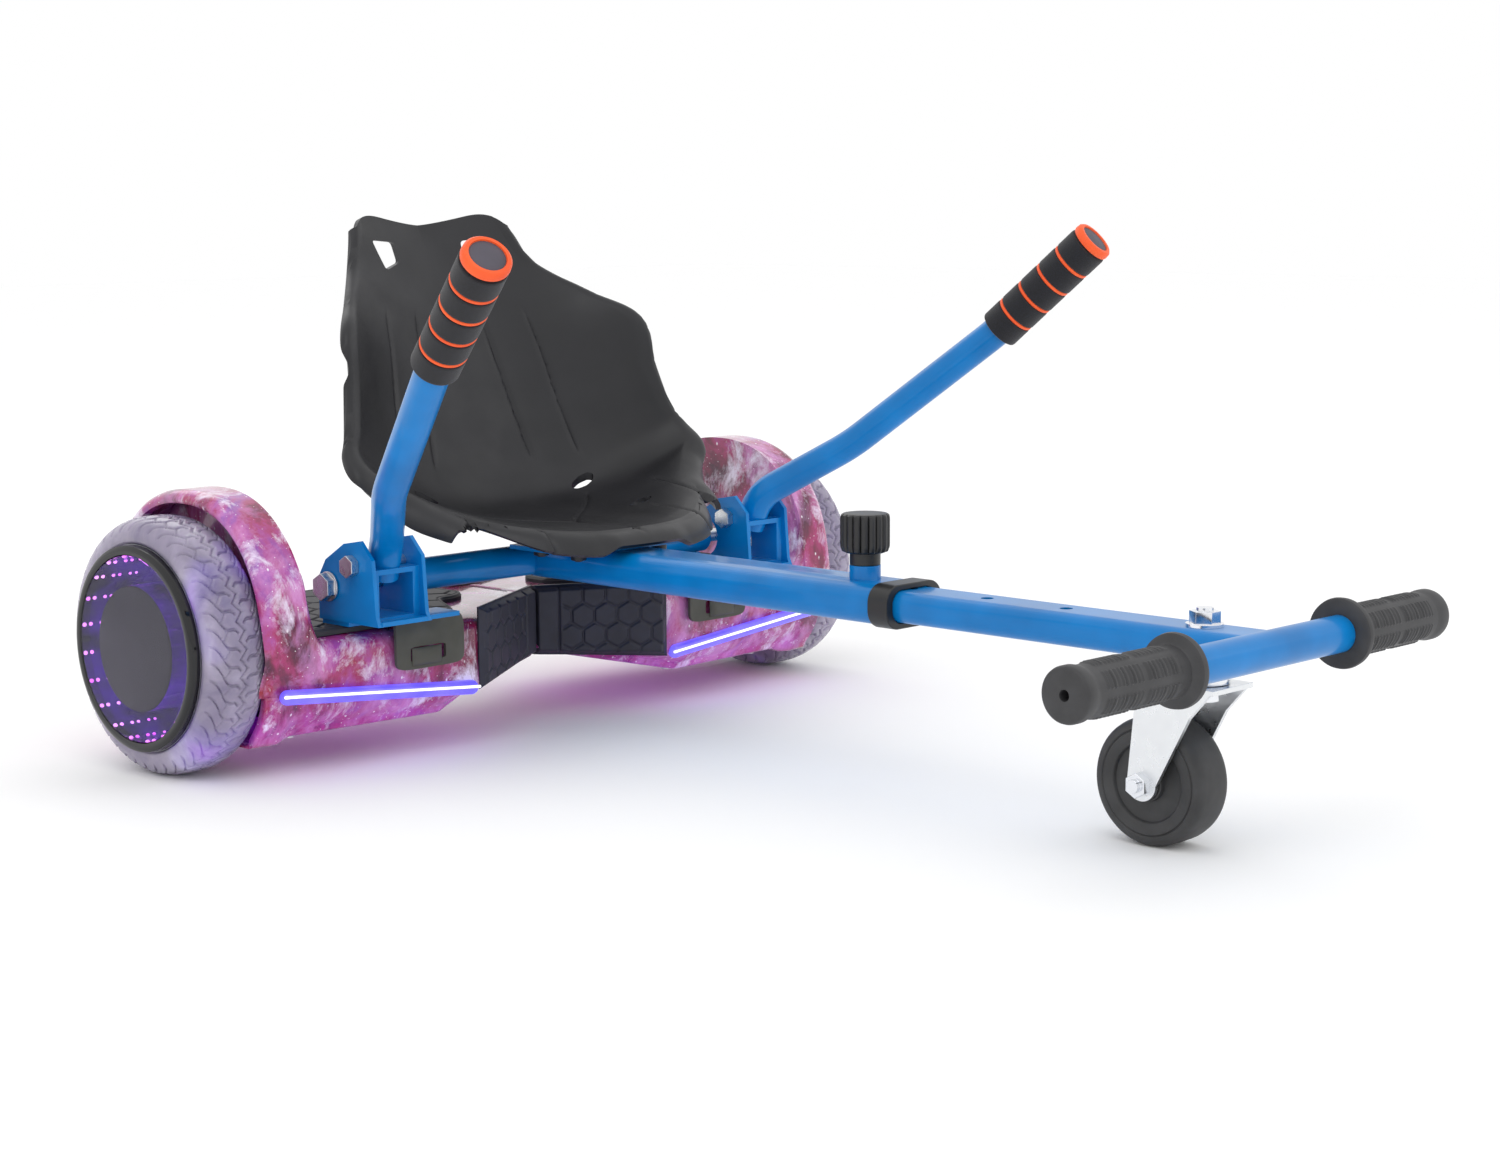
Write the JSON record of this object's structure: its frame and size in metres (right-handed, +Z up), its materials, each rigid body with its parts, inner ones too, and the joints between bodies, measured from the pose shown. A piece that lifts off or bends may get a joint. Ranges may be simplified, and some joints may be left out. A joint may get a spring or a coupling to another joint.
{
  "type": "self balancing hoverboard with kart seat",
  "caption": "Two-wheel self-balancing board with a strap-on kart frame: bucket seat, tilting hand levers, telescopic beam, foot bar and swivel caster.",
  "frame": {"origin": "on the floor under the middle of the overall box", "axes": "+X to the kart's left, -Y the way it drives, +Z up"},
  "size_m": [0.614, 0.7699, 0.362],
  "materials": {
    "galaxy_shell": "high gloss printed film, nebula pattern",
    "cast_aluminium": "as cast",
    "pad_rubber": "matt, hexagonal grooves",
    "bumper_plastic": "matt, embossed hexagons",
    "light_bar": "lit diffuser",
    "clear_tyre": "translucent, zigzag tread",
    "motor_case": "satin",
    "mirror_disc": "mirror tunnel with paired lights",
    "stator": "lacquered windings",
    "circuit_board": "solder mask",
    "black_plastic": "moulded",
    "blue_paint": "gloss enamel",
    "foam": "closed cell foam",
    "orange_rubber": "matt",
    "zinc_steel": "bright zinc",
    "grey_webbing": "woven, coated",
    "battery_wrap": "shrink wrap over cells",
    "chrome": "polished",
    "grip_rubber": "ribbed",
    "seat_plastic": "satin moulded",
    "zinc_plate": "bright zinc",
    "caster_rubber": "matt"
  },
  "bodies": {
    "frame": {"crossbar": "blue_paint", "outer_tube": "blue_paint", "tube_bush": "black_plastic", "seat": "seat_plastic", "seat_bracket": "blue_paint", "frame_bolts": "zinc_steel"},
    "side_right": {"upper_shell_right": "galaxy_shell", "lower_shell_right": "galaxy_shell", "chassis_right": "cast_aluminium", "footpad_right": "pad_rubber", "bumper_right": "bumper_plastic", "light_bar_right": "light_bar", "stator_axle_right": "stator", "gyro_board_right": "circuit_board", "pad_switches_right": "black_plastic", "lever_right": "blue_paint", "lever_grip_right": "foam", "grip_cap_right": "orange_rubber", "foot_bracket_right": "blue_paint", "bracket_bolts_right": "zinc_steel", "strap_flap_right": "grey_webbing", "shell_screws_right": "zinc_steel", "pivot_shaft": "zinc_steel", "control_board": "circuit_board", "speaker": "black_plastic", "charge_socket": "black_plastic"},
    "side_left": {"upper_shell_left": "galaxy_shell", "lower_shell_left": "galaxy_shell", "chassis_left": "cast_aluminium", "footpad_left": "pad_rubber", "bumper_left": "bumper_plastic", "light_bar_left": "light_bar", "stator_axle_left": "stator", "gyro_board_left": "circuit_board", "pad_switches_left": "black_plastic", "lever_left": "blue_paint", "lever_grip_left": "foam", "grip_cap_left": "orange_rubber", "foot_bracket_left": "blue_paint", "bracket_bolts_left": "zinc_steel", "strap_flap_left": "grey_webbing", "shell_screws_left": "zinc_steel", "battery_pack": "battery_wrap"},
    "wheel_right": {"tyre_right": "clear_tyre", "hub_motor_right": "motor_case", "wheel_disc_right": "mirror_disc"},
    "wheel_left": {"tyre_left": "clear_tyre", "hub_motor_left": "motor_case", "wheel_disc_left": "mirror_disc"},
    "front": {"inner_tube": "blue_paint", "foot_bar": "blue_paint", "foot_grips": "grip_rubber", "kingpin": "zinc_steel"},
    "knob": {"clamp_knob": "black_plastic"},
    "swivel": {"caster_fork": "zinc_plate", "caster_axle": "zinc_steel"},
    "caster": {"caster_wheel": "caster_rubber"},
    "button": {"power_button": "chrome"},
    "cap": {"charge_cap": "grip_rubber"}
  },
  "joints": [
    {"name": "lever_tilt", "type": "hinge", "parent": "frame", "child": "side_right", "pos_m": [0, 0.2285, 0.1205], "axis": [1, 0, 0], "range_deg": [-8, 8]},
    {"name": "board_twist", "type": "hinge", "parent": "side_right", "child": "side_left", "pos_m": [0, 0.2925, 0.075], "axis": [1, 0, 0], "range_deg": [-6, 6]},
    {"name": "wheel_spin_right", "type": "hinge", "parent": "side_right", "child": "wheel_right", "pos_m": [0, 0.2925, 0.085], "axis": [1, 0, 0], "continuous": true},
    {"name": "wheel_spin_left", "type": "hinge", "parent": "side_left", "child": "wheel_left", "pos_m": [0, 0.2925, 0.085], "axis": [1, 0, 0], "continuous": true},
    {"name": "beam_slide", "type": "slide", "parent": "frame", "child": "front", "axis": [0, -1, 0], "range_m": [-0.15, 0.08]},
    {"name": "knob_turn", "type": "hinge", "parent": "frame", "child": "knob", "pos_m": [0, -0.0685, 0.15], "axis": [0, 0, 1], "range_deg": [0, 360]},
    {"name": "caster_swivel", "type": "hinge", "parent": "front", "child": "swivel", "pos_m": [0, -0.3255, 0.09], "axis": [0, 0, 1], "continuous": true},
    {"name": "caster_spin", "type": "hinge", "parent": "swivel", "child": "caster", "pos_m": [0, -0.2975, 0.038], "axis": [1, 0, 0], "continuous": true},
    {"name": "button_press", "type": "slide", "parent": "side_right", "child": "button", "axis": [0, -1, 0], "range_m": [0, 0.0015], "stiffness_N_per_m": 300},
    {"name": "cap_swing", "type": "hinge", "parent": "side_right", "child": "cap", "pos_m": [-0.15, 0.3838, 0.085], "axis": [1, 0, 0], "range_deg": [0, 110]}
  ]
}
